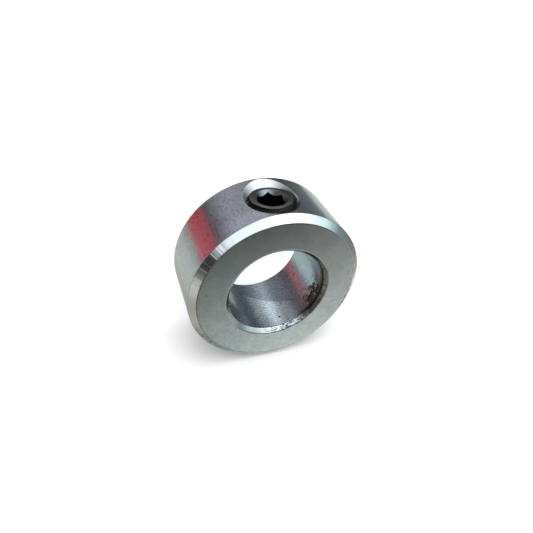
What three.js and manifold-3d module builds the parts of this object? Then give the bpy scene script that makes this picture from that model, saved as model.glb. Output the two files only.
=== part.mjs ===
// Shaft collar, solid one-piece type, held by one hex-socket set screw.
// Millimetres. The collar's bore runs along Y, the set screw along +Z, and the
// origin is the centre of the bore at the middle of the collar's width.
import * as THREE from 'three';
import { mergeVertices, toCreasedNormals } from 'three/addons/utils/BufferGeometryUtils.js';
import Module from 'manifold-3d';

// ---- collar: 5/8 in bore, 1-1/8 in outside diameter, 1/2 in wide ----
const OUTER_R = 28.575 / 2;
const BORE_R = 15.875 / 2;
const WIDTH = 12.7;
const RIM_BEVEL_RADIAL = 1.10;      // bevel between the end face and the outside
const RIM_BEVEL_AXIAL = 0.88;
const BORE_BEVEL = 0.60;            // bevel at each mouth of the bore
const RING_SEGMENTS = 128;

// ---- tapped hole and screw thread: 5/16-18 UNC, right hand ----
const PITCH = 25.4 / 18;
const THREAD_MAJOR_R = 7.9375 / 2;
const TAP_MINOR_R = 6.411 / 2;      // crest of the thread in the collar
const SCREW_ROOT_R = 3.06;
const THREAD_CLEARANCE = 0.07;      // radial play between screw and tapped hole
const THREAD_SEGMENTS = 48;         // steps in one turn
const COUNTERSINK_HALF_ANGLE = 59;  // 118 degree drill point
const COUNTERSINK_R = 3.97;         // its radius where the full thread begins
const COUNTERSINK_Z = 13.535;
const THREAD_START_Z = 4.254;      // where the helix starts, on the +X side

// ---- hex-socket set screw, 1/4 in long, cup point ----
const SCREW_LENGTH = 6.35;
const SCREW_TOP_Z = 13.87;          // just below the collar's outside
const SCREW_TOP_R = 3.22;           // flat rim around the socket
const SCREW_END_CHAMFER = 45;
const SPLIT_Z = 8.62;               // threaded part above, point below
const SPLIT_GAP = 0.02;
const CUP_R = 1.90;
const CUP_RIM_R = 1.99;
const CUP_DEPTH = 0.88;
const HEX_ACROSS_FLATS = 3.99;      // takes a 5/32 in key
const HEX_CORNER_ANGLE = 23.6;      // corner direction, from +X about +Z
const HEX_DEPTH = 3.30;
const HEX_LEAD_R = 2.50;            // lead-in cone at the socket's mouth
const HEX_LEAD_HALF_ANGLE = 37;
const HEX_DRILL_DEPTH = 0.85;       // drill point below the hexagon

const rad = (deg) => (deg * Math.PI) / 180;

const wasm = await Module();
wasm.setup();

// ---------------------------------------------------------------- helpers
function toManifold(geometry) {
  const g = geometry.clone();
  for (const name of Object.keys(g.attributes)) {
    if (name !== 'position') g.deleteAttribute(name);
  }
  const merged = mergeVertices(g, 1e-5);
  const index = Array.from(merged.index.array);
  const pos = merged.attributes.position.array;
  const tris = [];
  let volume = 0;
  for (let i = 0; i < index.length; i += 3) {
    const [a, b, c] = [index[i], index[i + 1], index[i + 2]];
    if (a === b || b === c || a === c) continue;
    tris.push(a, b, c);
    const A = [pos[3 * a], pos[3 * a + 1], pos[3 * a + 2]];
    const B = [pos[3 * b], pos[3 * b + 1], pos[3 * b + 2]];
    const C = [pos[3 * c], pos[3 * c + 1], pos[3 * c + 2]];
    volume += A[0] * (B[1] * C[2] - B[2] * C[1])
      + A[1] * (B[2] * C[0] - B[0] * C[2])
      + A[2] * (B[0] * C[1] - B[1] * C[0]);
  }
  if (volume < 0) {
    for (let i = 0; i < tris.length; i += 3) {
      [tris[i + 1], tris[i + 2]] = [tris[i + 2], tris[i + 1]];
    }
  }
  return new wasm.Manifold(new wasm.Mesh({
    numProp: 3,
    vertProperties: new Float32Array(pos),
    triVerts: new Uint32Array(tris),
  }));
}

function toGeometry(manifold) {
  const mesh = manifold.getMesh();
  const geometry = new THREE.BufferGeometry();
  geometry.setAttribute('position', new THREE.BufferAttribute(new Float32Array(mesh.vertProperties), 3));
  geometry.setIndex(new THREE.BufferAttribute(new Uint32Array(mesh.triVerts), 1));
  return toCreasedNormals(geometry, rad(32));
}

// A solid of revolution about Z from [radius, z] pairs.
function turned(profile, segments) {
  const lathe = new THREE.LatheGeometry(profile.map(([r, z]) => new THREE.Vector2(r, z)), segments);
  lathe.rotateX(Math.PI / 2);
  return toManifold(lathe);
}

// A rod about Z with a right-hand 60 degree thread. The surface is a grid whose
// rows follow the helix, so every turn of the thread meets the next.
function threadedRod(crestR, rootR, crestFlat, zLow, turns) {
  const flank = (crestR - rootR) * Math.tan(rad(30));
  const rootFlat = PITCH - crestFlat - 2 * flank;
  // one pitch of the profile, from the middle of a root flat
  const steps = [
    [rootR, rootFlat / 2],
    [crestR, rootFlat / 2 + flank],
    [crestR, rootFlat / 2 + flank + crestFlat],
    [rootR, PITCH - rootFlat / 2],
  ];
  const rows = [];
  for (let t = 0; t < turns; t++) {
    for (const [r, z] of steps) rows.push([r, zLow + t * PITCH + z]);
  }
  const positions = [];
  const index = [];
  const n = THREAD_SEGMENTS;
  // column n repeats column 0 one pitch higher, so row k of column n is row k+4 of column 0
  const id = (row, col) => (col === n ? (row + steps.length) : row) + (col % n) * (rows.length + steps.length);
  for (let col = 0; col < n; col++) {
    const a = (2 * Math.PI * col) / n;
    const lift = (PITCH * col) / n;
    for (let row = 0; row < rows.length + steps.length; row++) {
      const turn = Math.floor(row / steps.length);
      const [r, z] = steps[row % steps.length];
      positions.push(r * Math.cos(a), r * Math.sin(a), zLow + turn * PITCH + z + lift);
    }
  }
  for (let col = 0; col < n; col++) {
    for (let row = 0; row < rows.length - 1; row++) {
      const [a, b, c, d] = [id(row, col), id(row, col + 1), id(row + 1, col + 1), id(row + 1, col)];
      index.push(a, b, c, a, c, d);
    }
  }
  // ends: a fan from the axis to the first and the last row, and to the step where the helix closes
  const low = positions.length / 3;
  positions.push(0, 0, zLow + PITCH / 2);
  const high = positions.length / 3;
  positions.push(0, 0, zLow + turns * PITCH + PITCH / 2);
  const last = rows.length - 1;
  for (let col = 0; col < n; col++) {
    index.push(low, id(0, col + 1), id(0, col));
    index.push(high, id(last, col), id(last, col + 1));
  }
  for (let k = 0; k < steps.length; k++) {
    index.push(low, k, k + 1);
    index.push(high, last + k + 1, last + k);
  }
  const geometry = new THREE.BufferGeometry();
  geometry.setAttribute('position', new THREE.BufferAttribute(new Float32Array(positions), 3));
  geometry.setIndex(index);
  return toManifold(geometry);
}

// ---------------------------------------------------------------- collar ring
const half = WIDTH / 2;
const ringLathe = new THREE.LatheGeometry([
  new THREE.Vector2(BORE_R + BORE_BEVEL, -half),
  new THREE.Vector2(OUTER_R - RIM_BEVEL_RADIAL, -half),
  new THREE.Vector2(OUTER_R, -half + RIM_BEVEL_AXIAL),
  new THREE.Vector2(OUTER_R, half - RIM_BEVEL_AXIAL),
  new THREE.Vector2(OUTER_R - RIM_BEVEL_RADIAL, half),
  new THREE.Vector2(BORE_R + BORE_BEVEL, half),
  new THREE.Vector2(BORE_R, half - BORE_BEVEL),
  new THREE.Vector2(BORE_R, -half + BORE_BEVEL),
  new THREE.Vector2(BORE_R + BORE_BEVEL, -half),
], RING_SEGMENTS);

// the thread's void, longer than the wall at each end
const tapLow = THREAD_START_Z;
const tapTurns = 7;
const tapVoid = threadedRod(THREAD_MAJOR_R, TAP_MINOR_R, PITCH / 8, tapLow, tapTurns);
const tapWindow = turned([
  [0, 4.6], [THREAD_MAJOR_R + 1, 4.6], [THREAD_MAJOR_R + 1, COUNTERSINK_Z], [0, COUNTERSINK_Z],
], THREAD_SEGMENTS);
const sinkTan = Math.tan(rad(COUNTERSINK_HALF_ANGLE));
const sinkLowR = 2.6;
const sinkTopZ = OUTER_R + 0.6;
const countersink = turned([
  [0, COUNTERSINK_Z - (COUNTERSINK_R - sinkLowR) / sinkTan],
  [sinkLowR, COUNTERSINK_Z - (COUNTERSINK_R - sinkLowR) / sinkTan],
  [COUNTERSINK_R + (sinkTopZ - COUNTERSINK_Z) * sinkTan, sinkTopZ],
  [0, sinkTopZ],
], 64);
const ringSolid = toManifold(ringLathe)
  .subtract(tapVoid.intersect(tapWindow))
  .subtract(countersink);

// ---------------------------------------------------------------- set screw, threaded part with the socket
const screwCrestR = THREAD_MAJOR_R - THREAD_CLEARANCE;
const screwBottomZ = SCREW_TOP_Z - SCREW_LENGTH;
const endTan = Math.tan(rad(SCREW_END_CHAMFER));
// the point's cone goes on upward through the first turn of thread
const coneRAt = (z) => CUP_RIM_R + (z - screwBottomZ) * endTan;
const bodyLowZ = SPLIT_Z + SPLIT_GAP;
const envelope = turned([
  [0, bodyLowZ],
  [coneRAt(bodyLowZ), bodyLowZ],
  [THREAD_MAJOR_R + 0.2, bodyLowZ + (THREAD_MAJOR_R + 0.2 - coneRAt(bodyLowZ)) / endTan],
  [THREAD_MAJOR_R + 0.2, SCREW_TOP_Z - (THREAD_MAJOR_R + 0.2 - SCREW_TOP_R) * endTan],
  [SCREW_TOP_R, SCREW_TOP_Z],
  [0, SCREW_TOP_Z],
], THREAD_SEGMENTS);
// same helix as the tapped hole, so the crests lie in the middle of its grooves
const screwRod = threadedRod(screwCrestR, SCREW_ROOT_R, PITCH / 8, tapLow, tapTurns);

const hexShape = new THREE.Shape();
const hexR = HEX_ACROSS_FLATS / 2 / Math.cos(Math.PI / 6);
for (let k = 0; k < 6; k++) {
  const a = rad(HEX_CORNER_ANGLE + 60 * k);
  if (k === 0) hexShape.moveTo(hexR * Math.cos(a), hexR * Math.sin(a));
  else hexShape.lineTo(hexR * Math.cos(a), hexR * Math.sin(a));
}
hexShape.closePath();
const hexFloorZ = SCREW_TOP_Z - HEX_DEPTH;
const hexGeometry = new THREE.ExtrudeGeometry(hexShape, { depth: HEX_DEPTH + 1, bevelEnabled: false });
hexGeometry.translate(0, 0, hexFloorZ);
const drillR = HEX_ACROSS_FLATS / 2 - 0.04;
const socketDrill = turned([
  [0, hexFloorZ - HEX_DRILL_DEPTH], [drillR, hexFloorZ], [drillR, hexFloorZ + 1], [0, hexFloorZ + 1],
], 36);
const leadTan = Math.tan(rad(HEX_LEAD_HALF_ANGLE));
const leadLowR = 1.5;
const leadIn = turned([
  [0, SCREW_TOP_Z - (HEX_LEAD_R - leadLowR) / leadTan],
  [leadLowR, SCREW_TOP_Z - (HEX_LEAD_R - leadLowR) / leadTan],
  [HEX_LEAD_R + 0.5 * leadTan, SCREW_TOP_Z + 0.5],
  [0, SCREW_TOP_Z + 0.5],
], THREAD_SEGMENTS);
const screwSolid = screwRod
  .intersect(envelope)
  .subtract(toManifold(hexGeometry))
  .subtract(socketDrill)
  .subtract(leadIn);

// ---------------------------------------------------------------- set screw, cup point
const pointSolid = turned([
  [0, screwBottomZ + CUP_DEPTH],
  [CUP_R, screwBottomZ],
  [CUP_RIM_R, screwBottomZ],
  [coneRAt(SPLIT_Z), SPLIT_Z],
  [0, SPLIT_Z],
], THREAD_SEGMENTS);

// ---------------------------------------------------------------- materials and assembly
const zinc = new THREE.MeshStandardMaterial({ name: 'zinc_plated_steel', color: 0x9a9c9e, roughness: 0.38, metalness: 1.0 });
const blackOxide = new THREE.MeshStandardMaterial({ name: 'black_oxide_steel', color: 0x2b2a2b, roughness: 0.45, metalness: 0.9 });

function piece(name, solid, material) {
  const mesh = new THREE.Mesh(toGeometry(solid), material);
  mesh.name = name;
  return mesh;
}

const collar = new THREE.Group();
collar.name = 'shaft_collar';
collar.add(piece('collar_ring', ringSolid, zinc));

const setScrew = new THREE.Group();
setScrew.name = 'set_screw_group';
setScrew.add(piece('set_screw', screwSolid, blackOxide));
setScrew.add(piece('set_screw_point', pointSolid, blackOxide));
collar.add(setScrew);

export default collar;
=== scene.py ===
import math

import bpy
import numpy as np
from mathutils import Matrix, Vector


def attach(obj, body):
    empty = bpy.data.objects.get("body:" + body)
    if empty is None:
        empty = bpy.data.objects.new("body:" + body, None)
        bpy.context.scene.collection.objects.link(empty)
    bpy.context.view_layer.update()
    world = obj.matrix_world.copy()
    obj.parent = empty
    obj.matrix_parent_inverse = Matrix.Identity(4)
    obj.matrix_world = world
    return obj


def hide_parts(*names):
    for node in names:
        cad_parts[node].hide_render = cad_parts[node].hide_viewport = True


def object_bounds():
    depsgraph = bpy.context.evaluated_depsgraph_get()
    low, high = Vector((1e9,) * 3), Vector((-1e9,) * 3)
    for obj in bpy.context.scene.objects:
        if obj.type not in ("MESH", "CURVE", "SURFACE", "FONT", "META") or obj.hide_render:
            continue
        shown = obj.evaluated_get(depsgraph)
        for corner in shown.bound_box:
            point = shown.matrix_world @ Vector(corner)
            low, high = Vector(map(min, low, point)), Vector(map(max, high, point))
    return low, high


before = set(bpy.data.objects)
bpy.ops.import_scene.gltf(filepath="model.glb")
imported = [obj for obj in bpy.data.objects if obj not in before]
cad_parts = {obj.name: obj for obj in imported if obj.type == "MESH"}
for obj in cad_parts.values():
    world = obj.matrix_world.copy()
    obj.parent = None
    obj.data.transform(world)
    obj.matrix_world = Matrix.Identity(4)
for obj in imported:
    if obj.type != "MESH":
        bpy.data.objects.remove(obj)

CAD_BOX = [list(v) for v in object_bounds()]

# ------------------------------------------------------------------ sizes, in mm
# The same numbers as the CAD model's. Everything is built in mm and scaled to metres at the end.
R = 14.2875
RB = 7.9375
HALF = 6.35
BEVEL_R, BEVEL_Y = 1.10, 0.88
BORE_BEVEL = 0.60
PITCH = 25.4 / 18
MAJOR, MINOR = 7.9375 / 2, 6.411 / 2
SCREW_CREST, SCREW_ROOT = 7.9375 / 2 - 0.07, 3.06
Z_PHASE = 4.254
SINK_R, SINK_Z, SINK_TAN = 3.97, 13.535, math.tan(math.radians(59))
SCREW_TOP, SCREW_LEN = 13.87, 6.35
SCREW_TOP_R = 3.22
CROWN = 0.11
SPLIT_Z, SPLIT_GAP = 8.62, 0.02
CUP_R, CUP_RIM_R, CUP_DEPTH = 1.90, 1.99, 0.88
HEX_FLATS, HEX_ANGLE, HEX_DEPTH = 3.99, 23.6, 3.30
LEAD_R, LEAD_TAN = 2.50, math.tan(math.radians(37))
DRILL_DEPTH = 0.85

rng = np.random.default_rng(20260711)


def smooth_noise(x, seed, octaves=3):
    """Periodic noise of an angle x, from -1 to 1."""
    r = np.random.default_rng(seed)
    out = np.zeros_like(x, float)
    total = 0
    for k in range(1, 1 + 4 * octaves):
        a = 1 / k ** 0.8
        out += a * np.sin(k * x + r.uniform(0, 2 * np.pi)) * r.uniform(0.4, 1)
        total += a
    return out / total * 1.6


def smin(a, b, k):
    h = np.clip(0.5 + 0.5 * (b - a) / k, 0, 1)
    return b + (a - b) * h - k * h * (1 - h)


def smax(a, b, k):
    return -smin(-a, -b, k)


def fillet(points, radii, steps=4):
    """A closed polyline with its corners rounded. points are (r, y); a radius of 0 keeps the corner."""
    out = []
    n = len(points)
    for i in range(n):
        p, q, s = (np.array(points[(i + d) % n], float) for d in (-1, 0, 1))
        f = radii[i]
        if f <= 0:
            out.append(tuple(q))
            continue
        a, b = p - q, s - q
        a, b = a / np.linalg.norm(a), b / np.linalg.norm(b)
        half = math.acos(np.clip(a @ b, -1, 1)) / 2
        back = f / math.tan(half)
        centre = q + (a + b) / np.linalg.norm(a + b) * f / math.sin(half)
        p0, p1 = q + a * back, q + b * back
        v0, v1 = p0 - centre, p1 - centre
        t0, t1 = math.atan2(v0[1], v0[0]), math.atan2(v1[1], v1[0])
        d = (t1 - t0 + math.pi) % (2 * math.pi) - math.pi
        for k in range(steps + 1):
            t = t0 + d * k / steps
            out.append((centre[0] + f * math.cos(t), centre[1] + f * math.sin(t)))
    return out


def thread_radius(theta, z, crest, root, crest_flat, soft=0.05):
    """Radius of a 60 degree right-hand thread at angle theta and height z."""
    flank = (crest - root) * math.tan(math.radians(30))
    u = ((z - Z_PHASE) / PITCH - theta / (2 * np.pi)) % 1.0
    d = np.abs(u - 0.5) * PITCH                      # distance from the middle of the crest
    slope = (crest_flat / 2 + flank - d) / math.tan(math.radians(30)) + root
    return smin(smax(slope, np.full_like(slope, root), soft), np.full_like(slope, crest), soft)


def new_object(name, co, faces, mats, mat_index=None, sharp=38, weld=False):
    mesh = bpy.data.meshes.new(name)
    mesh.from_pydata([tuple(map(float, v)) for v in np.asarray(co) * 0.001], [], [tuple(f) for f in faces])
    for m in mats:
        mesh.materials.append(m)
    if mat_index is not None:
        mesh.polygons.foreach_set("material_index", np.asarray(mat_index, np.int32))
    mesh.polygons.foreach_set("use_smooth", np.ones(len(mesh.polygons), bool))
    mesh.update()
    mesh.set_sharp_from_angle(angle=math.radians(sharp))
    if mesh.validate():
        print("validate changed", name)
    obj = bpy.data.objects.new(name, mesh)
    bpy.context.scene.collection.objects.link(obj)
    return obj


# ------------------------------------------------------------------ collar ring
def build_ring(mats):
    """mats: outside, end faces, rim bevels, bore, bore bevels, tapped hole and countersink (not used)"""
    M = 384                       # columns round the ring
    A_OD, B_OD = 60, 48           # the patch round the hole on the outside, in columns and rows
    A_BO, B_BO = 80, 28           # and in the bore
    N = 2 * (A_OD + B_OD)
    assert N == 2 * (A_BO + B_BO)
    od_y = np.linspace(-5.33, 5.33, B_OD + 1)
    bo_y = np.concatenate([[-5.6, -5.35, -5.1], np.linspace(-4.83, 4.83, B_BO + 1), [5.1, 5.35, 5.6]])

    corners = [
        (RB + BORE_BEVEL, -HALF), (R - BEVEL_R, -HALF), (R, -HALF + BEVEL_Y),
        (R, HALF - BEVEL_Y), (R - BEVEL_R, HALF), (RB + BORE_BEVEL, HALF),
        (RB, HALF - BORE_BEVEL), (RB, -HALF + BORE_BEVEL),
    ]
    radii = [0.07, 0.10, 0.11, 0.11, 0.10, 0.07, 0.10, 0.10]
    steps = 4
    pts = fillet(corners, radii, steps)
    # split into the eight rounded corners, and fill the spans between them
    c = [pts[i * (steps + 1):(i + 1) * (steps + 1)] for i in range(8)]
    prof, tag = [], []            # tag: material of the strip that starts at this row

    def span(a, b, n):
        a, b = np.array(a), np.array(b)
        return [tuple(a + (b - a) * k / n) for k in range(1, n)]

    def add(rows, t):
        for r_ in rows:
            prof.append(r_)
            tag.append(t)

    add(c[0], 1); add(span(c[0][-1], c[1][0], 18), 1)
    add(c[1], 2); add(span(c[1][-1], c[2][0], 7), 2)
    add(c[2], 0)
    od_start = len(prof)
    add([(R, y) for y in od_y], 0)
    add(c[3], 2); add(span(c[3][-1], c[4][0], 7), 2)
    add(c[4], 1); add(span(c[4][-1], c[5][0], 18), 1)
    add(c[5], 4); add(span(c[5][-1], c[6][0], 4), 4)
    add(c[6], 3)
    bo_start = len(prof)
    add([(RB, y) for y in bo_y[::-1]], 3)
    add(c[7], 4); add(span(c[7][-1], c[0][0], 4), 4)
    prof = np.array(prof)
    P = len(prof)
    # the strip from a corner's last row belongs to the next surface, so the corners' own strips take the bevel's finish
    phi = np.arange(M) * 2 * np.pi / M
    rr = np.repeat(prof[:, 0][:, None], M, 1)
    yy = np.repeat(prof[:, 1][:, None], M, 1)

    # hand-finished look: bevels that wander a few hundredths of a millimetre
    w1 = smooth_noise(phi, 11) * 0.022
    w2 = smooth_noise(phi, 12) * 0.022
    w3 = smooth_noise(phi, 13) * 0.030 + 0.085 * np.clip(np.cos(phi - math.radians(212)), 0, 1) ** 2
    w4 = smooth_noise(phi, 14) * 0.025
    front = (prof[:, 1] < -5.4)
    back = (prof[:, 1] > 5.4)
    outer = prof[:, 0] > 12.6
    inner = prof[:, 0] < 9.0
    for mask, w, sign in ((front & outer, w1, 1), (back & outer, w2, 1), (front & inner, w3, -1), (back & inner, w4, -1)):
        idx = np.nonzero(mask)[0]
        for i in idx:
            r0, y0 = prof[i]
            if outer[i]:
                # 1 at the face's edge, 0 at the outside: the bevel's face edge moves in and out
                k = np.clip((R - r0) / BEVEL_R, 0, 1)
                if abs(abs(y0) - HALF) < 1e-6 or r0 < R - BEVEL_R:
                    k = np.clip((r0 - 12.6) / (R - BEVEL_R - 12.6), 0, 1)
                rr[i] = r0 - w * k
            else:
                k = np.clip((r0 - RB) / BORE_BEVEL, 0, 1)
                if r0 > RB + BORE_BEVEL:
                    k = np.clip((9.0 - r0) / (9.0 - RB - BORE_BEVEL), 0, 1)
                rr[i] = r0 + w * k

    co = np.stack([rr * np.sin(phi)[None], yy, rr * np.cos(phi)[None]], -1).reshape(-1, 3)
    vid = lambda i, j: (i % P) * M + (j % M)
    faces, fmat = [], []
    od_rows = (od_start, od_start + B_OD)
    bo_rows = (bo_start + 3, bo_start + 3 + B_BO)
    for i in range(P):
        t = tag[i]
        for j in range(M):
            js = j if j < M // 2 else j - M
            if od_rows[0] <= i < od_rows[1] and -A_OD // 2 <= js < A_OD // 2:
                continue
            if bo_rows[0] <= i < bo_rows[1] and -A_BO // 2 <= js < A_BO // 2:
                continue
            faces.append((vid(i, j), vid(i, j + 1), vid(i + 1, j + 1), vid(i + 1, j)))
            fmat.append(t)
    co = list(co)

    def loop(row_of_y, a, b):
        """Boundary vertices of a patch, anticlockwise seen from +Z, from the middle of the +X side."""
        out = []
        h = b // 2
        for k in range(0, h):
            out.append(vid(row_of_y(k), a // 2))
        for k in range(0, a):
            out.append(vid(row_of_y(h), a // 2 - k))
        for k in range(0, b):
            out.append(vid(row_of_y(h - k), -a // 2))
        for k in range(0, a):
            out.append(vid(row_of_y(-h), -a // 2 + k))
        for k in range(0, h):
            out.append(vid(row_of_y(-h + k), a // 2))
        return out

    od_loop = loop(lambda k: od_start + B_OD // 2 + k, A_OD, B_OD)
    bo_loop = loop(lambda k: bo_start + 3 + B_BO // 2 - k, A_BO, B_BO)
    assert len(od_loop) == N and len(bo_loop) == N
    th = np.arange(N) * 2 * np.pi / N

    # countersink rim on the outside: the cone meets the cylinder further out along the collar's axis
    rim = np.full(N, 4.3)
    for _ in range(60):
        rim = 0.5 * rim + 0.5 * (SINK_R + (np.sqrt(R * R - (rim * np.cos(th)) ** 2) - SINK_Z) * SINK_TAN)

    def od_z(x):
        return np.sqrt(R * R - x * x)

    def top_point(rho):
        x, y = rho * np.cos(th), rho * np.sin(th)
        cone = SINK_Z + (rho - SINK_R) / SINK_TAN
        return np.stack([x, y, smin(cone, od_z(x), 0.035)], -1)

    rows = []                     # from the outside's patch boundary down to the bore's
    rows.append((None, od_loop, 0))
    b3 = np.array([co[v] for v in od_loop])
    rim_out = rim + 0.10
    start = np.stack([rim_out * np.cos(th), rim_out * np.sin(th)], -1)
    for t in (0.06, 0.14, 0.24, 0.36, 0.50, 0.64, 0.77, 0.88, 0.95):
        q = b3[:, :2] * (1 - t) + start * t
        rows.append((np.stack([q[:, 0], q[:, 1], od_z(q[:, 0])], -1), None, 0))
    for d in (0.10, 0.055, 0.03, 0.012):
        rows.append((top_point(rim + d), None, 0))
    for d in (-0.006, -0.03, -0.06, -0.11):
        rows.append((top_point(rim + d), None, 5))
    zs = top_point(rim - 0.11)[:, 2]
    z_low = 13.56

    def wall(z):
        z = np.broadcast_to(z, th.shape)
        cone = SINK_R + (z - SINK_Z) * SINK_TAN
        thr = thread_radius(th, z, MAJOR, MINOR, PITCH / 8, 0.03)
        # above the countersink's foot the thread is cut away
        r_ = np.where(z > SINK_Z, cone, smax(cone, thr, 0.02))
        return np.stack([r_ * np.cos(th), r_ * np.sin(th), z], -1)

    for t in (0.15, 0.3, 0.45, 0.6, 0.75, 0.88, 1.0):
        rows.append((wall(zs * (1 - t) + z_low * t), None, 5))
    dz = 0.05
    z = z_low - 0.02
    while z > 8.15:
        rows.append((wall(z), None, 5 if z > 13.5 else 6))
        z -= dz
    z_last = z + dz
    # down to the bore's surface, which is lower at the sides
    zb = np.full(N, 7.2)
    for _ in range(80):
        r_ = thread_radius(th, zb, MAJOR, MINOR, PITCH / 8, 0.03)
        zb = 0.6 * zb + 0.4 * np.sqrt(RB * RB - (r_ * np.cos(th)) ** 2)
    k_low = 26
    for k in range(1, k_low + 1):
        rows.append((wall(z_last + (zb - z_last) * k / k_low), None, 6))
    edge = rows[-1][0]
    b4 = np.array([co[v] for v in bo_loop])
    for t in (0.03, 0.08, 0.16, 0.28, 0.42, 0.58, 0.74, 0.88):
        q = edge[:, :2] * (1 - t) + b4[:, :2] * t
        rows.append((np.stack([q[:, 0], q[:, 1], np.sqrt(RB * RB - q[:, 0] ** 2)], -1), None, 3))
    rows.append((None, bo_loop, 3))

    ids = []
    for pts3, given, _ in rows:
        if given is not None:
            ids.append(given)
        else:
            base = len(co)
            co.extend(list(pts3))
            ids.append(list(range(base, base + N)))
    for k in range(len(rows) - 1):
        t = rows[k + 1][2]
        for n in range(N):
            m_ = (n + 1) % N
            faces.append((ids[k][n], ids[k][m_], ids[k + 1][m_], ids[k + 1][n]))
            zq = co[ids[k + 1][n]][2]
            if t == 6 and zq > 12.9 and SINK_R + (zq - SINK_Z) * SINK_TAN > float(
                    thread_radius(th[n:n + 1], np.array([zq]), MAJOR, MINOR, PITCH / 8, 0.03)[0]) - 0.01:
                t_here = 5          # the countersink runs on down to the thread's crest
            else:
                t_here = t
            fmat.append(t_here)
    return co, faces, fmat


# ------------------------------------------------------------------ set screw
def hex_radius(theta):
    a = (theta - math.radians(HEX_ANGLE)) % (math.pi / 3) - math.pi / 6
    return HEX_FLATS / 2 / np.cos(a)


def build_screw():
    """The threaded part with its socket: one closed grid of rings about Z."""
    N = 144
    th = math.radians(HEX_ANGLE) + np.arange(N) * 2 * np.pi / N
    low = SPLIT_Z + SPLIT_GAP
    cone_low = CUP_RIM_R + (low - (SCREW_TOP - SCREW_LEN))

    def outside(z):
        z = np.broadcast_to(np.asarray(z, float), th.shape)
        env = smin(np.full_like(z, CUP_RIM_R) + (z - (SCREW_TOP - SCREW_LEN)), SCREW_TOP_R + (SCREW_TOP - z), 0.02)
        return smin(env, thread_radius(th, z, SCREW_CREST, SCREW_ROOT, PITCH / 8, 0.05), 0.03)

    rings, mats = [], []

    def ring(r_, z, m_):
        r_ = np.broadcast_to(np.asarray(r_, float), th.shape)
        z = np.broadcast_to(np.asarray(z, float), th.shape)
        rings.append(np.stack([r_ * np.cos(th), r_ * np.sin(th), z], -1))
        mats.append(m_)

    # bottom disc, outside, top rim, lead-in cone, hexagon, drill point
    for f in (0.35, 0.7, 0.95):
        ring(cone_low * f, low, 0)
    edge_z, edge_r = SCREW_TOP - CROWN, SCREW_TOP_R + CROWN      # the top is crowned, so its edge meets the chamfer lower down
    zs = np.arange(low, edge_z - 0.06, 0.035)
    for z in zs:
        ring(outside(z), z, 0)
    e = 0.07                                     # rounding of the top rim's outer edge
    for k in range(6):
        a = math.radians(45 + 45 * k / 5)
        ring(np.minimum(outside(edge_z - e * 0.4), edge_r + 0.03 - e * 0.5 + e * math.cos(a) * 0.9),
             edge_z - e + e * math.sin(a), 0)
    for f in (0.2, 0.4, 0.6, 0.8):
        ring(edge_r - 0.03 + (LEAD_R + 0.04 - edge_r + 0.03) * f, SCREW_TOP - CROWN * (1 - f) ** 1.2, 3)
    # the socket's mouth is broached after coining, so its cone is a little uneven
    wob = smooth_noise(th, 21) * 0.018
    for k in range(4):
        a = math.radians(90 - 53 * k / 3)
        ring(LEAD_R + 0.035 - 0.05 * (1 - math.sin(a)) - 0.035 * k / 3 + wob, SCREW_TOP - 0.05 * (1 - math.sin(a)) - 0.004 * k, 3)
    hr = hex_radius(th)
    top_r, top_z = LEAD_R - 0.02 + wob, SCREW_TOP - 0.045
    foot_z = top_z - (top_r - hr) / LEAD_TAN
    for f in (0.2, 0.4, 0.6, 0.8, 0.93, 1.0):
        ring(top_r + (hr - top_r) * f, top_z + (foot_z - top_z) * f, 1)
    floor_z = SCREW_TOP - HEX_DEPTH
    for f in (0.01, 0.03, 0.08, 0.16, 0.27, 0.4, 0.55, 0.7, 0.85, 0.97, 1.0):
        ring(hr, foot_z + (floor_z - foot_z) * f, 2)
    drill = HEX_FLATS / 2 - 0.04
    ring(hr * 0.25 + drill * 0.75, floor_z - 0.004, 2)
    for f in (1.0, 0.75, 0.5, 0.25):
        ring(drill * f, floor_z - 0.01 - DRILL_DEPTH * (1 - f), 2)
    co = [p for r_ in rings for p in r_]
    faces, fmat = [], []
    for k in range(len(rings) - 1):
        for n in range(N):
            m_ = (n + 1) % N
            faces.append((k * N + n, k * N + m_, (k + 1) * N + m_, (k + 1) * N + n))
            fmat.append(mats[k + 1])
    a = len(co)
    co.append(np.array([0, 0, low]))
    co.append(np.array([0, 0, floor_z - 0.01 - DRILL_DEPTH]))
    for n in range(N):
        m_ = (n + 1) % N
        faces.append((a, m_, n))
        fmat.append(0)
        last = (len(rings) - 1) * N
        faces.append((a + 1, last + n, last + m_))
        fmat.append(2)
    return co, faces, fmat


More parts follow.
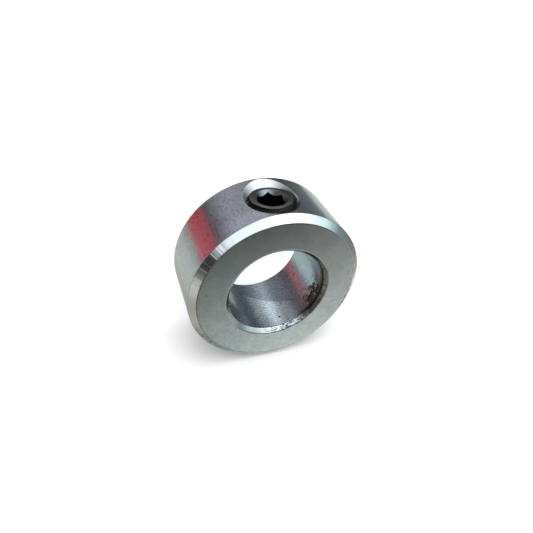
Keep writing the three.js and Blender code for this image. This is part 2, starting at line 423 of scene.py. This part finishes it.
def build_point():
    """The cup point below the cut."""
    N = 96
    th = np.arange(N) * 2 * np.pi / N
    tip = SCREW_TOP - SCREW_LEN
    r_top = CUP_RIM_R + (SPLIT_Z - tip)
    prof = fillet(
        [(0.0, SPLIT_Z), (0.0, tip + CUP_DEPTH), (CUP_R, tip), (CUP_RIM_R + 0.02, tip), (r_top, SPLIT_Z)],
        [0, 0, 0.03, 0.05, 0], 3)
    prof = prof[1:]                # without the point at the top of the axis
    apex = prof[0]
    ring_pts = []
    for a, b in zip(prof[:-1], prof[1:]):
        n = max(1, int(math.dist(a, b) / 0.2))
        for k in range(n):
            ring_pts.append((a[0] + (b[0] - a[0]) * k / n, a[1] + (b[1] - a[1]) * k / n))
    ring_pts.append(prof[-1])
    for f in (0.8, 0.5, 0.2):
        ring_pts.append((r_top * f, SPLIT_Z))
    ring_pts = [p for p in ring_pts if p[0] > 1e-6]
    co = []
    for r_, z in ring_pts:
        wob = 1.0
        co += [np.array([r_ * math.cos(t) * wob, r_ * math.sin(t) * wob, z]) for t in th]
    faces = []
    K = len(ring_pts)
    for k in range(K - 1):
        for n in range(N):
            m_ = (n + 1) % N
            faces.append((k * N + n, (k + 1) * N + n, (k + 1) * N + m_, k * N + m_))
    a = len(co)
    co.append(np.array([0, 0, apex[1]]))
    co.append(np.array([0, 0, SPLIT_Z]))
    for n in range(N):
        m_ = (n + 1) % N
        faces.append((a, n, m_))
        faces.append((a + 1, (K - 1) * N + m_, (K - 1) * N + n))
    return co, faces, [0] * len(faces)


def fix_winding(co, faces):
    """Faces out: flips them all if the volume comes out negative."""
    co = np.asarray(co)
    v = 0.0
    for f in faces:
        for k in range(1, len(f) - 1):
            v += np.dot(co[f[0]], np.cross(co[f[k]], co[f[k + 1]]))
    return [tuple(reversed(f)) for f in faces] if v < 0 else faces


# ------------------------------------------------------------------ materials
class Nodes:
    """A short way to write node trees."""

    def __init__(self, name):
        self.mat = bpy.data.materials.new(name)
        self.mat.use_nodes = True
        self.t = self.mat.node_tree
        self.t.nodes.clear()
        self.out = self.t.nodes.new("ShaderNodeOutputMaterial")
        self.bsdf = self.t.nodes.new("ShaderNodeBsdfPrincipled")
        self.t.links.new(self.bsdf.outputs[0], self.out.inputs[0])
        tc = self.t.nodes.new("ShaderNodeTexCoord")
        scale = self.t.nodes.new("ShaderNodeVectorMath")
        scale.operation = "SCALE"
        scale.inputs[3].default_value = 1000.0
        self.t.links.new(tc.outputs["Object"], scale.inputs[0])
        self.p = scale.outputs[0]                     # position on the object, mm
        sep = self.t.nodes.new("ShaderNodeSeparateXYZ")
        self.t.links.new(self.p, sep.inputs[0])
        self.x, self.y, self.z = sep.outputs

    def put(self, sock, value):
        if isinstance(value, (int, float)):
            sock.default_value = value
        elif isinstance(value, (tuple, list)):
            sock.default_value = value if len(value) == len(sock.default_value) else tuple(value) + (1.0,)
        else:
            self.t.links.new(value, sock)

    def math(self, op, a, b=None, c=None, clamp=False):
        n = self.t.nodes.new("ShaderNodeMath")
        n.operation = op
        n.use_clamp = clamp
        for s, v in zip(n.inputs, (a, b, c)):
            if v is not None:
                self.put(s, v)
        return n.outputs[0]

    def vec(self, op, a, b=None, scale=None):
        n = self.t.nodes.new("ShaderNodeVectorMath")
        n.operation = op
        self.put(n.inputs[0], a)
        if b is not None:
            self.put(n.inputs[1], b)
        if scale is not None:
            self.put(n.inputs[3], scale)
        return n.outputs[1] if op in ("LENGTH", "DOT_PRODUCT", "DISTANCE") else n.outputs[0]

    def xyz(self, x, y, z):
        n = self.t.nodes.new("ShaderNodeCombineXYZ")
        for s, v in zip(n.inputs, (x, y, z)):
            self.put(s, v)
        return n.outputs[0]

    def noise(self, vector=None, scale=1.0, detail=3.0, rough=0.55, distortion=0.0, colour=False):
        n = self.t.nodes.new("ShaderNodeTexNoise")
        self.put(n.inputs["Vector"], self.p if vector is None else vector)
        n.inputs["Scale"].default_value = scale
        n.inputs["Detail"].default_value = detail
        n.inputs["Roughness"].default_value = rough
        n.inputs["Distortion"].default_value = distortion
        return n.outputs[1 if colour else 0]

    def voronoi(self, vector=None, scale=1.0, feature="F1", rand=1.0):
        n = self.t.nodes.new("ShaderNodeTexVoronoi")
        n.feature = feature
        self.put(n.inputs["Vector"], self.p if vector is None else vector)
        n.inputs["Scale"].default_value = scale
        n.inputs["Randomness"].default_value = rand
        return n.outputs["Distance"]

    def ramp(self, fac, stops):
        """stops: (position, value or colour)"""
        n = self.t.nodes.new("ShaderNodeValToRGB")
        self.put(n.inputs[0], fac)
        e = n.color_ramp.elements
        while len(e) < len(stops):
            e.new(0.5)
        for k, (pos, v) in enumerate(stops):
            e[k].position = pos
            e[k].color = (v, v, v, 1) if isinstance(v, (int, float)) else tuple(v) + (1,)
        return n.outputs[0]

    def step(self, v, lo, hi):
        """0 below lo, 1 above hi, smooth between (either way round)."""
        n = self.t.nodes.new("ShaderNodeMapRange")
        n.interpolation_type = "SMOOTHSTEP"
        self.put(n.inputs["Value"], v)
        n.inputs["From Min"].default_value = lo
        n.inputs["From Max"].default_value = hi
        return n.outputs[0]

    def remap(self, v, a, b, c, d):
        n = self.t.nodes.new("ShaderNodeMapRange")
        self.put(n.inputs["Value"], v)
        for name, x in zip(("From Min", "From Max", "To Min", "To Max"), (a, b, c, d)):
            n.inputs[name].default_value = x
        return n.outputs[0]

    def mix(self, fac, a, b, kind="MIX"):
        n = self.t.nodes.new("ShaderNodeMix")
        n.data_type = "RGBA"
        n.blend_type = kind
        self.put(n.inputs[0], fac)
        self.put(n.inputs[6], a)
        self.put(n.inputs[7], b)
        return n.outputs[2]

    def bump(self, height, distance, strength=1.0, normal=None):
        n = self.t.nodes.new("ShaderNodeBump")
        n.inputs["Strength"].default_value = strength
        n.inputs["Distance"].default_value = distance
        self.put(n.inputs["Height"], height)
        if normal is not None:
            self.put(n.inputs["Normal"], normal)
        return n.outputs[0]


def polar(m):
    """Radius from the bore axis, and the direction round it, of the point being shaded."""
    radius = m.math("SQRT", m.math("ADD", m.math("MULTIPLY", m.x, m.x), m.math("MULTIPLY", m.z, m.z)))
    ang = m.math("ARCTAN2", m.x, m.z)
    return radius, ang


ZINC = (0.60, 0.605, 0.60)


def zinc(name, kind):
    """Bright zinc plating over turned or drawn steel. kind: outside, face, bevel, bore, bore_bevel, sink, hole"""
    m = Nodes(name)
    radius, ang = polar(m)
    nx = m.vec("NORMALIZE", m.xyz(m.x, 0.0, m.z))          # unit vector round the ring: streaks along the axis read this
    mul = lambda a, b: m.math("MULTIPLY", a, b)
    add = lambda a, b: m.math("ADD", a, b)

    def sector(centre, half, soft):
        """1 within half degrees of an angle round the ring, falling to 0 over the next soft degrees"""
        c = m.vec("DOT_PRODUCT", nx, (math.sin(math.radians(centre)), 0.0, math.cos(math.radians(centre))))
        return m.step(c, math.cos(math.radians(half + soft)), math.cos(math.radians(half)))

    def spot(centre, r0, r1):
        """1 within r0 mm of a point, 0 beyond r1"""
        return m.step(m.vec("DISTANCE", m.p, centre), r1, r0)

    cloud = m.noise(scale=0.42, detail=4, rough=0.6)       # mottling, 2 to 3 mm
    blotch = m.noise(scale=1.5, detail=4, rough=0.62)
    speck = m.noise(scale=6.5, detail=3, rough=0.7)        # crystal speckle of the plating
    grain = m.noise(scale=24.0, detail=2, rough=0.6)

    base = m.mix(m.step(cloud, 0.36, 0.66), (0.575, 0.585, 0.590), (0.645, 0.640, 0.615))
    base = m.mix(mul(m.step(blotch, 0.45, 0.72), 0.45), base, (0.50, 0.505, 0.505))
    dark_specks = {"outside": 0.55, "face": 0.22, "bevel": 0.3, "bore": 0.45, "bore_bevel": 0.4, "sink": 0.1, "hole": 0.3}[kind]
    base = m.mix(mul(m.step(speck, 0.56, 0.76), dark_specks), base, (0.36, 0.35, 0.36))
    base = m.mix(mul(m.step(grain, 0.62, 0.80), 0.25), base, (0.74, 0.75, 0.75))

    rough = {"outside": 0.17, "face": 0.20, "bevel": 0.14, "bore": 0.20, "bore_bevel": 0.15, "sink": 0.18, "hole": 0.34}[kind]
    rough = add(rough, add(m.remap(blotch, 0.3, 0.7, -0.02, 0.04), m.remap(speck, 0.3, 0.7, -0.02, 0.04)))

    height = add(mul(speck, 0.5), mul(grain, 0.2))
    amount = {"face": 0.9, "sink": 0.8}.get(kind, 1.5)      # micrometres for a height of 1
    grime = (0.075, 0.055, 0.042)
    rust = (0.22, 0.155, 0.105)
    if kind == "outside":
        # drawn bar: fine lines along the axis
        fine = m.noise(m.vec("ADD", m.vec("SCALE", nx, scale=80.0), m.xyz(0.0, mul(m.y, 0.3), 0.0)), scale=1.0, detail=3, rough=0.7)
        wide = m.noise(m.vec("ADD", m.vec("SCALE", nx, scale=24.0), m.xyz(0.0, mul(m.y, 0.12), 0.0)), scale=1.0, detail=2, rough=0.6)
        height = add(height, add(mul(fine, 1.2), mul(wide, 2.2)))
        rough = add(rough, m.remap(fine, 0.3, 0.7, -0.03, 0.05))
        base = m.mix(mul(m.step(fine, 0.54, 0.72), 0.35), base, (0.42, 0.42, 0.43))
        # scuffs between the screw and the left shoulder, and a few light nicks
        scuff = mul(m.step(m.noise(m.vec("MULTIPLY", m.p, (2.2, 0.9, 2.2)), scale=1.0, detail=5, rough=0.7), 0.53, 0.66), sector(-30, 16, 22))
        base = m.mix(mul(scuff, 0.75), base, (0.28, 0.265, 0.29))
        # painted reflection: a lighter, bluish patch between the screw and the shoulder
        painted_sheen = mul(mul(m.step(m.y, -1.8, -4.2), sector(-24, 9, 12)), m.remap(blotch, 0.35, 0.6, 0.5, 1.0))
        base = m.mix(mul(painted_sheen, 0.55), base, (0.82, 0.87, 0.91))
        pores = m.step(m.noise(m.vec("MULTIPLY", m.p, (2.7, 1.5, 2.7)), scale=1.0, detail=4, rough=0.75), 0.53, 0.63)
        fewer = m.math("SUBTRACT", 1.0, mul(sector(-54, 9, 7), 0.8))
        base = m.mix(mul(mul(pores, fewer), m.remap(cloud, 0.35, 0.65, 0.1, 0.7)), base, (0.25, 0.24, 0.26))
        nick = mul(m.step(m.voronoi(m.vec("MULTIPLY", m.p, (1.1, 3.4, 1.1)), scale=0.8, rand=1.0), 0.10, 0.05), sector(-25, 14, 8))
        base = m.mix(mul(nick, 0.6), base, (0.86, 0.87, 0.88))
    elif kind == "face":
        lines = m.noise(m.xyz(mul(radius, 7.0), mul(ang, 1.2), 0.0), scale=1.0, detail=3, rough=0.6)
        height = add(height, mul(lines, 0.5))
        dabs = m.noise(m.vec("MULTIPLY", m.p, (1.0, 1.0, 1.0)), scale=0.75, detail=5, rough=0.7)
        base = m.mix(mul(m.step(dabs, 0.50, 0.72), 0.35), base, (0.44, 0.445, 0.43))
        # a thin dark line where the face meets the rim bevel, and worn patches along it
        edge = mul(m.step(radius, 12.98, 13.13), m.remap(m.noise(m.vec("SCALE", nx, scale=7.0), scale=1.0, detail=3), 0.35, 0.6, 0.25, 0.85))
        edge = mul(edge, m.math("MAXIMUM", m.math("MAXIMUM", sector(-125, 50, 25), mul(sector(100, 45, 25), 0.8)), 0.15))
        base = m.mix(edge, base, (0.16, 0.145, 0.13))
        lower = mul(mul(m.step(radius, 12.3, 13.1), sector(-136, 6, 12)), m.step(cloud, 0.40, 0.6))
        base = m.mix(mul(lower, 0.45), base, rust)
        side = mul(mul(m.step(radius, 11.8, 12.7), sector(106, 4, 7)), m.step(blotch, 0.46, 0.6))
        base = m.mix(mul(side, 0.5), base, rust)
        # grime creeping out of the bore on the right, and a dark grey band just outside the bore bevel below
        lip = mul(m.step(radius, 8.86, 8.60), sector(103, 28, 22))
        base = m.mix(mul(lip, 0.5), base, rust)
        under = mul(m.step(radius, 8.78, 8.62), sector(-168, 28, 14))
        base = m.mix(mul(under, 0.65), base, (0.13, 0.13, 0.13))
        chips = m.step(m.noise(m.xyz(mul(ang, 9.0), mul(radius, 4.5), 0.0), scale=1.0, detail=3, rough=0.7), 0.46, 0.55)
        chips = mul(mul(chips, m.step(radius, 8.95, 8.68)), sector(158, 22, 10))
        base = m.mix(mul(chips, 0.9), base, (0.07, 0.07, 0.08))
        flecks = m.step(m.voronoi(scale=0.55), 0.045, 0.02)
        base = m.mix(mul(flecks, 0.5), base, (0.20, 0.18, 0.16))
    elif kind in ("bevel", "bore_bevel"):
        lines = m.noise(m.xyz(mul(add(radius, m.y), 10.0), mul(ang, 2.0), 0.0), scale=1.0, detail=3, rough=0.6)
        dents = m.noise(m.vec("SCALE", nx, scale=11.0), scale=1.0, detail=3, rough=0.7)
        chatter = m.noise(m.vec("SCALE", nx, scale=28.0), scale=1.0, detail=2, rough=0.6)
        if kind == "bevel":
            lively = m.math("MAXIMUM", m.math("MAXIMUM", sector(-42, 20, 16), mul(sector(45, 12, 12), 0.8)), 0.30)
            height = add(height, mul(lines, 0.5))
            height = add(height, mul(mul(dents, lively), 30.0))
            height = add(height, mul(mul(m.noise(m.vec("SCALE", nx, scale=5.5), scale=1.0, detail=1), sector(-52, 16, 10)), 55.0))
            height = add(height, mul(mul(chatter, lively), 9.0))
            base = m.mix(0.4, base, (0.80, 0.81, 0.82))
            streak = mul(m.step(chatter, 0.56, 0.68), mul(lively, 0.45))
            base = m.mix(streak, base, (0.34, 0.36, 0.41))
            low = mul(m.math("MAXIMUM", mul(sector(-128, 10, 16), 0.6), mul(sector(100, 20, 30), 0.25)), m.step(blotch, 0.36, 0.58))
            base = m.mix(low, base, rust)
        else:
            height = add(height, add(mul(lines, 1.6), mul(dents, 9.0)))
            height = add(height, mul(chatter, 3.0))
            base = m.mix(mul(sector(166, 30, 20), 0.35), base, (0.36, 0.39, 0.43))
            nicks = mul(m.step(m.noise(m.xyz(mul(ang, 9.0), mul(radius, 4.5), 0.0), scale=1.0, detail=3, rough=0.7), 0.47, 0.55), sector(158, 24, 14))
            base = m.mix(mul(nicks, 0.9), base, (0.05, 0.055, 0.07))
            dirt = mul(sector(100, 36, 18), m.remap(m.noise(scale=1.6, detail=5, rough=0.7), 0.40, 0.60, 0.50, 0.95))
            base = m.mix(dirt, base, m.mix(m.step(speck, 0.40, 0.62), grime, (0.18, 0.13, 0.09)))
            base = m.mix(mul(mul(sector(98, 30, 14), m.step(radius, 8.12, 8.02)), 0.85), base, (0.015, 0.012, 0.010))
            rough = add(rough, mul(dirt, 0.25))
    elif kind == "bore":
        base = m.mix(0.30, base, (0.44, 0.60, 0.66))
        grit = m.noise(m.vec("MULTIPLY", m.p, (2.8, 5.2, 2.8)), scale=1.0, detail=3, rough=0.65)
        clean = sector(92, 15, 9)                               # the right wall is cleaner and bluer
        base = m.mix(mul(clean, 0.35), base, (0.42, 0.62, 0.68))
        height = add(height, mul(grit, 2.0))
        # boring tool's feed marks, a fine helix, broken up along the way
        wander = mul(m.noise(scale=0.8, detail=2), 0.9)
        phase = add(mul(m.y, 2 * math.pi / 0.42), add(ang, wander))
        groove = m.math("SINE", phase)
        depth = m.remap(m.noise(scale=0.55, detail=2), 0.35, 0.65, 0.5, 1.0)
        height = add(height, mul(mul(groove, depth), 2.8))
        rough = add(rough, mul(groove, 0.02))
        base = m.mix(mul(m.step(mul(groove, depth), 0.1, 0.9), 0.35), base, (0.38, 0.38, 0.40))
        # painted reflection: a bright, bluish patch at the bottom of the bore's front opening, set in painted shade
        # that darkens the bore's bottom along its length
        low = m.math("ARCTAN2", mul(m.x, -1.0), mul(m.z, -1.0))
        painted_reflection = m.math("SUBTRACT", add(1.2, mul(low, 4.9)), m.y)
        painted_reflection = mul(m.step(painted_reflection, -0.25, 0.25), sector(172, 17, 14))
        base = m.mix(mul(painted_reflection, 0.75), m.mix(mul(sector(178, 40, 25), 0.35), base, (0.30, 0.31, 0.34)), (0.88, 0.92, 0.95))
        gritty = mul(m.math("SUBTRACT", 1.0, mul(clean, 0.75)), m.remap(cloud, 0.35, 0.65, 0.5, 0.9))
        gritty = mul(gritty, m.math("SUBTRACT", 1.0, mul(painted_reflection, 0.4)))
        base = m.mix(mul(m.step(grit, 0.50, 0.57), gritty), base, (0.20, 0.20, 0.215))
        # dried cutting oil near the front on the right, densest at the very edge
        wet = m.noise(scale=1.1, detail=6, rough=0.72)
        patch = mul(sector(112, 9, 14), m.step(m.y, -1.2, -3.4))
        patch = mul(patch, m.step(add(wet, mul(m.step(m.y, -2.5, -5.6), 0.12)), 0.49, 0.57))
        rim_dirt = mul(mul(sector(102, 34, 16), m.step(m.y, -4.75, -5.55)), m.remap(wet, 0.35, 0.55, 0.6, 1.0))
        dirt = m.math("MAXIMUM", patch, rim_dirt)
        seam = mul(sector(98, 30, 14), m.step(m.y, -5.35, -5.6))
        spots = mul(mul(m.step(m.voronoi(scale=1.7), 0.16, 0.08), sector(125, 30, 16)), m.step(m.y, 0.0, -3.0))
        dirt = m.math("MAXIMUM", dirt, mul(spots, 0.8))
        pit = m.math("MAXIMUM", spot((1.82, -3.92, -7.72), 0.13, 0.24), mul(spot((2.35, -3.7, -7.58), 0.05, 0.12), 0.8))
        dirt = m.math("MAXIMUM", dirt, pit)
        base = m.mix(dirt, base, m.mix(m.step(speck, 0.46, 0.66), grime, rust))
        base = m.mix(mul(seam, 0.85), base, (0.015, 0.012, 0.010))
        rough = add(rough, mul(dirt, 0.3))
    elif kind == "sink":
        # painted shade: the countersink is darkened on its near side, between the screw and the rim
        base = m.mix(mul(m.step(m.y, -1.6, -3.0), 0.8), base, (0.07, 0.07, 0.075))
    elif kind == "hole":
        # painted shade: the tapped thread is darkened, unevenly in blotches
        base = m.mix(m.remap(blotch, 0.3, 0.7, 0.72, 0.92), base, (0.05, 0.045, 0.04))
    m.put(m.bsdf.inputs["Base Color"], base)
    m.put(m.bsdf.inputs["Roughness"], rough)
    m.bsdf.inputs["Metallic"].default_value = 1.0
    m.put(m.bsdf.inputs["Normal"], m.bump(height, amount * 1e-6))
    return m.mat


def black_oxide(name, kind):
    """Oiled black oxide. kind: thread, top, lead, socket"""
    m = Nodes(name)
    blotch = m.noise(scale=1.6, detail=4, rough=0.6)
    speck = m.noise(scale=14.0, detail=3, rough=0.7)
    # The lead-in cone gets a lighter, bluish base than the rest of the oxide: a painted reflection.
    base = m.mix(m.step(blotch, 0.4, 0.7), (0.135, 0.130, 0.124) if kind != "lead" else (0.19, 0.22, 0.24), (0.180, 0.172, 0.163) if kind != "lead" else (0.24, 0.28, 0.30))
    # painted shade: the socket's walls and drill point are darkened well below the rest of the oxide
    if kind == "socket":
        base = m.mix(0.75, base, (0.02, 0.02, 0.02))
    elif kind == "thread":
        base = m.mix(0.93, base, (0.012, 0.011, 0.010))
    base = m.mix(m.math("MULTIPLY", m.step(speck, 0.62, 0.8), 0.5), base, (0.07, 0.066, 0.064))
    rough = m.remap(speck, 0.3, 0.7, 0.26, 0.38) if kind != "thread" else m.remap(speck, 0.3, 0.7, 0.50, 0.62)
    m.put(m.bsdf.inputs["Base Color"], base)
    m.put(m.bsdf.inputs["Roughness"], rough)
    m.bsdf.inputs["Metallic"].default_value = 1.0
    m.put(m.bsdf.inputs["Normal"], m.bump(m.math("ADD", speck, m.math("MULTIPLY", blotch, 0.6)), 0.000003))
    return m.mat


# ------------------------------------------------------------------ pieces
zinc_mats = [zinc("zinc_outside", "outside"), zinc("zinc_end_face", "face"), zinc("zinc_rim_bevel", "bevel"),
             zinc("zinc_bore", "bore"), zinc("zinc_bore_bevel", "bore_bevel"), zinc("zinc_countersink", "sink"),
             zinc("zinc_tapped_hole", "hole")]
co, faces, fmat = build_ring(zinc_mats)
faces = fix_winding(co, faces)
ring_obj = new_object("collar_ring_finished", co, faces, zinc_mats, fmat, sharp=40)
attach(ring_obj, "collar")
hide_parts("collar_ring")

oxide_mats = [black_oxide("oxide_thread", "thread"), black_oxide("oxide_lead_in", "lead"), black_oxide("oxide_socket", "socket"),
              black_oxide("oxide_top", "top")]
co, faces, fmat = build_screw()
faces = fix_winding(co, faces)
screw_obj = new_object("set_screw_finished", co, faces, oxide_mats, fmat, sharp=32)
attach(screw_obj, "screw_turning")
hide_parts("set_screw")

co, faces, fmat = build_point()
faces = fix_winding(co, faces)
point_obj = new_object("set_screw_point_finished", co, faces, oxide_mats[:1], fmat, sharp=30)
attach(point_obj, "screw_travel")
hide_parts("set_screw_point")

# ------------------------------------------------------------------ floor, light, camera
floor_mesh = bpy.data.meshes.new("floor")
S = 3.0
floor_mesh.from_pydata([(-S, -S, 0), (S, -S, 0), (S, S, 0), (-S, S, 0)], [], [(0, 1, 2, 3)])
floor = bpy.data.objects.new("floor", floor_mesh)
bpy.context.scene.collection.objects.link(floor)
floor.location = (0, 0, CAD_BOX[0][2])
fm = bpy.data.materials.new("pale_floor")
fm.use_nodes = True
fb = fm.node_tree.nodes["Principled BSDF"]
fb.inputs["Base Color"].default_value = (0.90, 0.90, 0.90, 1)
fb.inputs["Roughness"].default_value = 0.9
fb.inputs["Specular IOR Level"].default_value = 0.2
floor_mesh.materials.append(fm)
floor.visible_glossy = False

# Studio surroundings: soft patches of light, each (azimuth, elevation, tightness, colour).
# Azimuth 0 is on the camera's side (-Y), 90 is +X. A tightness of 10 is a patch some 50 degrees wide, 60 some 20.
LOBES = [
    # the light table the part stands on, all round
    (-60, -35, 10, (0.12, 0.11, 0.10)),
    (100, -40, 10, (0.52, 0.55, 0.50)),
    (60, -25, 30, (0.88, 0.94, 0.88)),
    (-140, -22, 30, (0.27, 0.29, 0.30)),
    (175, -60, 8, (0.27, 0.44, 0.44)),
    (24, -55, 45, (0.62, 0.75, 0.74)),
    (36, -49, 80, (0.55, 0.60, 0.58)),
    (48, -40, 60, (0.55, 0.60, 0.60)),
    (9, -50, 150, (0.19, 0.20, 0.19)),
    (-70, -60, 10, (0.47, 0.47, 0.41)),
    (-62, -22, 40, (0.63, 0.67, 0.62)),
    (-110, -15, 12, (0.38, 0.42, 0.52)),
    (178, -25, 15, (0.75, 0.60, 0.50)),
    # the large window in front, and the ceiling
    (10, 42, 20, (1.35, 1.55, 1.64)),
    (40, 36, 20, (1.40, 1.55, 1.62)),
    (62, 16, 40, (0.79, 1.10, 1.19)),
    (-22, 33, 40, (1.10, 1.34, 1.48)),
    (-38, 22, 80, (1.10, 1.22, 1.32)),
    (50, 58, 12, (1.60, 1.60, 1.62)),
    (75, 75, 8, (1.50, 1.50, 1.54)),
    # the room in front, below the window
    (0, 2, 12, (0.40, 0.41, 0.40)),
    # the room behind and beside it
    (78, -2, 30, (0.14, 0.20, 0.25)),
    (-90, 45, 8, (0.28, 0.28, 0.22)),
    (180, 38, 25, (0.32, 0.32, 0.38)),
    (172, 52, 60, (0.40, 0.55, 0.60)),
    (-158, 30, 40, (0.35, 0.38, 0.45)),
    (135, 2, 25, (0.14, 0.18, 0.20)),
    (158, 60, 80, (0.60, 0.68, 0.70)),
    (-120, 20, 15, (0.22, 0.20, 0.23)),
    (120, 50, 12, (0.50, 0.60, 0.68)),
]
BASE = (0.0, 0.0, 0.0)
# cards behind the collar: azimuth, elevation, inner and outer radius in degrees, colour
CARDS = [
    (142, -32, 23, 28, (0.53, 0.60, 0.53)),
    (-145, 4, 9, 11, (0.47, 0.02, 0.03)),
    (-130, 4, 8, 11, (0.28, 0.04, 0.05)),
    (-145, -24, 17, 20, (0.24, 0.29, 0.27)),
]
BEHIND = (1.0, 1.0, 1.0)


def direction(az, el):
    a, e = math.radians(az), math.radians(el)
    return (math.sin(a) * math.cos(e), -math.cos(a) * math.cos(e), math.sin(e))


def build_world(lobes, base):
    world = bpy.data.worlds.new("studio")
    bpy.context.scene.world = world
    world.use_nodes = True
    t = world.node_tree
    t.nodes.clear()
    tc = t.nodes.new("ShaderNodeTexCoord")
    total = None
    for az, el, k, colour in lobes:
        d = t.nodes.new("ShaderNodeVectorMath")
        d.operation = "DOT_PRODUCT"
        t.links.new(tc.outputs["Generated"], d.inputs[0])
        d.inputs[1].default_value = direction(az, el)
        e = t.nodes.new("ShaderNodeMath")
        e.operation = "MULTIPLY_ADD"
        t.links.new(d.outputs["Value"], e.inputs[0])
        e.inputs[1].default_value = k
        e.inputs[2].default_value = -k
        x = t.nodes.new("ShaderNodeMath")
        x.operation = "EXPONENT"
        t.links.new(e.outputs[0], x.inputs[0])
        s = t.nodes.new("ShaderNodeVectorMath")
        s.operation = "MULTIPLY_ADD"
        t.links.new(x.outputs[0], s.inputs[0])
        s.inputs[1].default_value = colour
        if total is None:
            s.inputs[2].default_value = base
        else:
            t.links.new(total, s.inputs[2])
        total = s.outputs[0]
    for az, el, inner, outer, colour in CARDS:
        d = t.nodes.new("ShaderNodeVectorMath")
        d.operation = "DOT_PRODUCT"
        t.links.new(tc.outputs["Generated"], d.inputs[0])
        d.inputs[1].default_value = direction(az, el)
        edge = t.nodes.new("ShaderNodeMapRange")
        edge.interpolation_type = "SMOOTHSTEP"
        t.links.new(d.outputs["Value"], edge.inputs["Value"])
        edge.inputs["From Min"].default_value = math.cos(math.radians(outer))
        edge.inputs["From Max"].default_value = math.cos(math.radians(inner))
        s = t.nodes.new("ShaderNodeVectorMath")
        s.operation = "MULTIPLY_ADD"
        t.links.new(edge.outputs[0], s.inputs[0])
        s.inputs[1].default_value = colour
        t.links.new(total, s.inputs[2])
        total = s.outputs[0]
    lp = t.nodes.new("ShaderNodeLightPath")
    mix = t.nodes.new("ShaderNodeMix")
    mix.data_type = "RGBA"
    t.links.new(lp.outputs["Is Glossy Ray"], mix.inputs[0])
    mix.inputs[6].default_value = BEHIND + (1,)
    t.links.new(total, mix.inputs[7])
    # found by the surfaces' own reflections only, so that the two halves of the mix stay apart
    world.cycles.sampling_method = "NONE"
    bg = t.nodes.new("ShaderNodeBackground")
    t.links.new(mix.outputs[2], bg.inputs[0])
    out = t.nodes.new("ShaderNodeOutputWorld")
    t.links.new(bg.outputs[0], out.inputs[0])
    return world


build_world(LOBES, BASE)


def area(name, loc, target, size, power, colour=(1, 1, 1), glossy=False):
    light = bpy.data.lights.new(name, "AREA")
    light.shape = "DISK"
    light.size = size
    light.energy = power
    light.color = colour
    o = bpy.data.objects.new(name, light)
    bpy.context.scene.collection.objects.link(o)
    o.location = loc
    o.rotation_euler = (Vector(target) - Vector(loc)).to_track_quat("-Z", "Y").to_euler()
    o.visible_camera = False
    o.visible_glossy = glossy
    return o


area("overhead_softbox", (0.10, -0.15, 0.75), (0, 0, 0), 0.8, 4.0)

# Camera: where the photographer stood, found by fitting the ring's outlines.
CAM_LOC = (-22.446531967628317, -54.55569123377116, 46.98075792383079)
CAM_RIGHT = (0.9408051133197034, -0.33187765468136105, 0.06886915909678955)
CAM_UP = (0.1546627621121039, 0.601135794639963, 0.7840377455317025)
CAM_BACK = (-0.3016043248485579, -0.726975225661631, 0.6168807441530868)
camd = bpy.data.cameras.new("camera")
camd.sensor_width = 36.0
camd.lens = 30.24207358165308
camd.clip_start = 0.001
camd.clip_end = 20.0
camd.dof.use_dof = False
cam = bpy.data.objects.new("camera", camd)
bpy.context.scene.collection.objects.link(cam)
rot = Matrix((CAM_RIGHT, CAM_UP, CAM_BACK)).transposed()
cam.matrix_world = Matrix.Translation(Vector(CAM_LOC) * 0.001) @ rot.to_4x4()
bpy.context.scene.camera = cam

bpy.context.scene.view_settings.view_transform = "Standard"
bpy.context.scene.view_settings.look = "None"

bpy.context.view_layer.update()
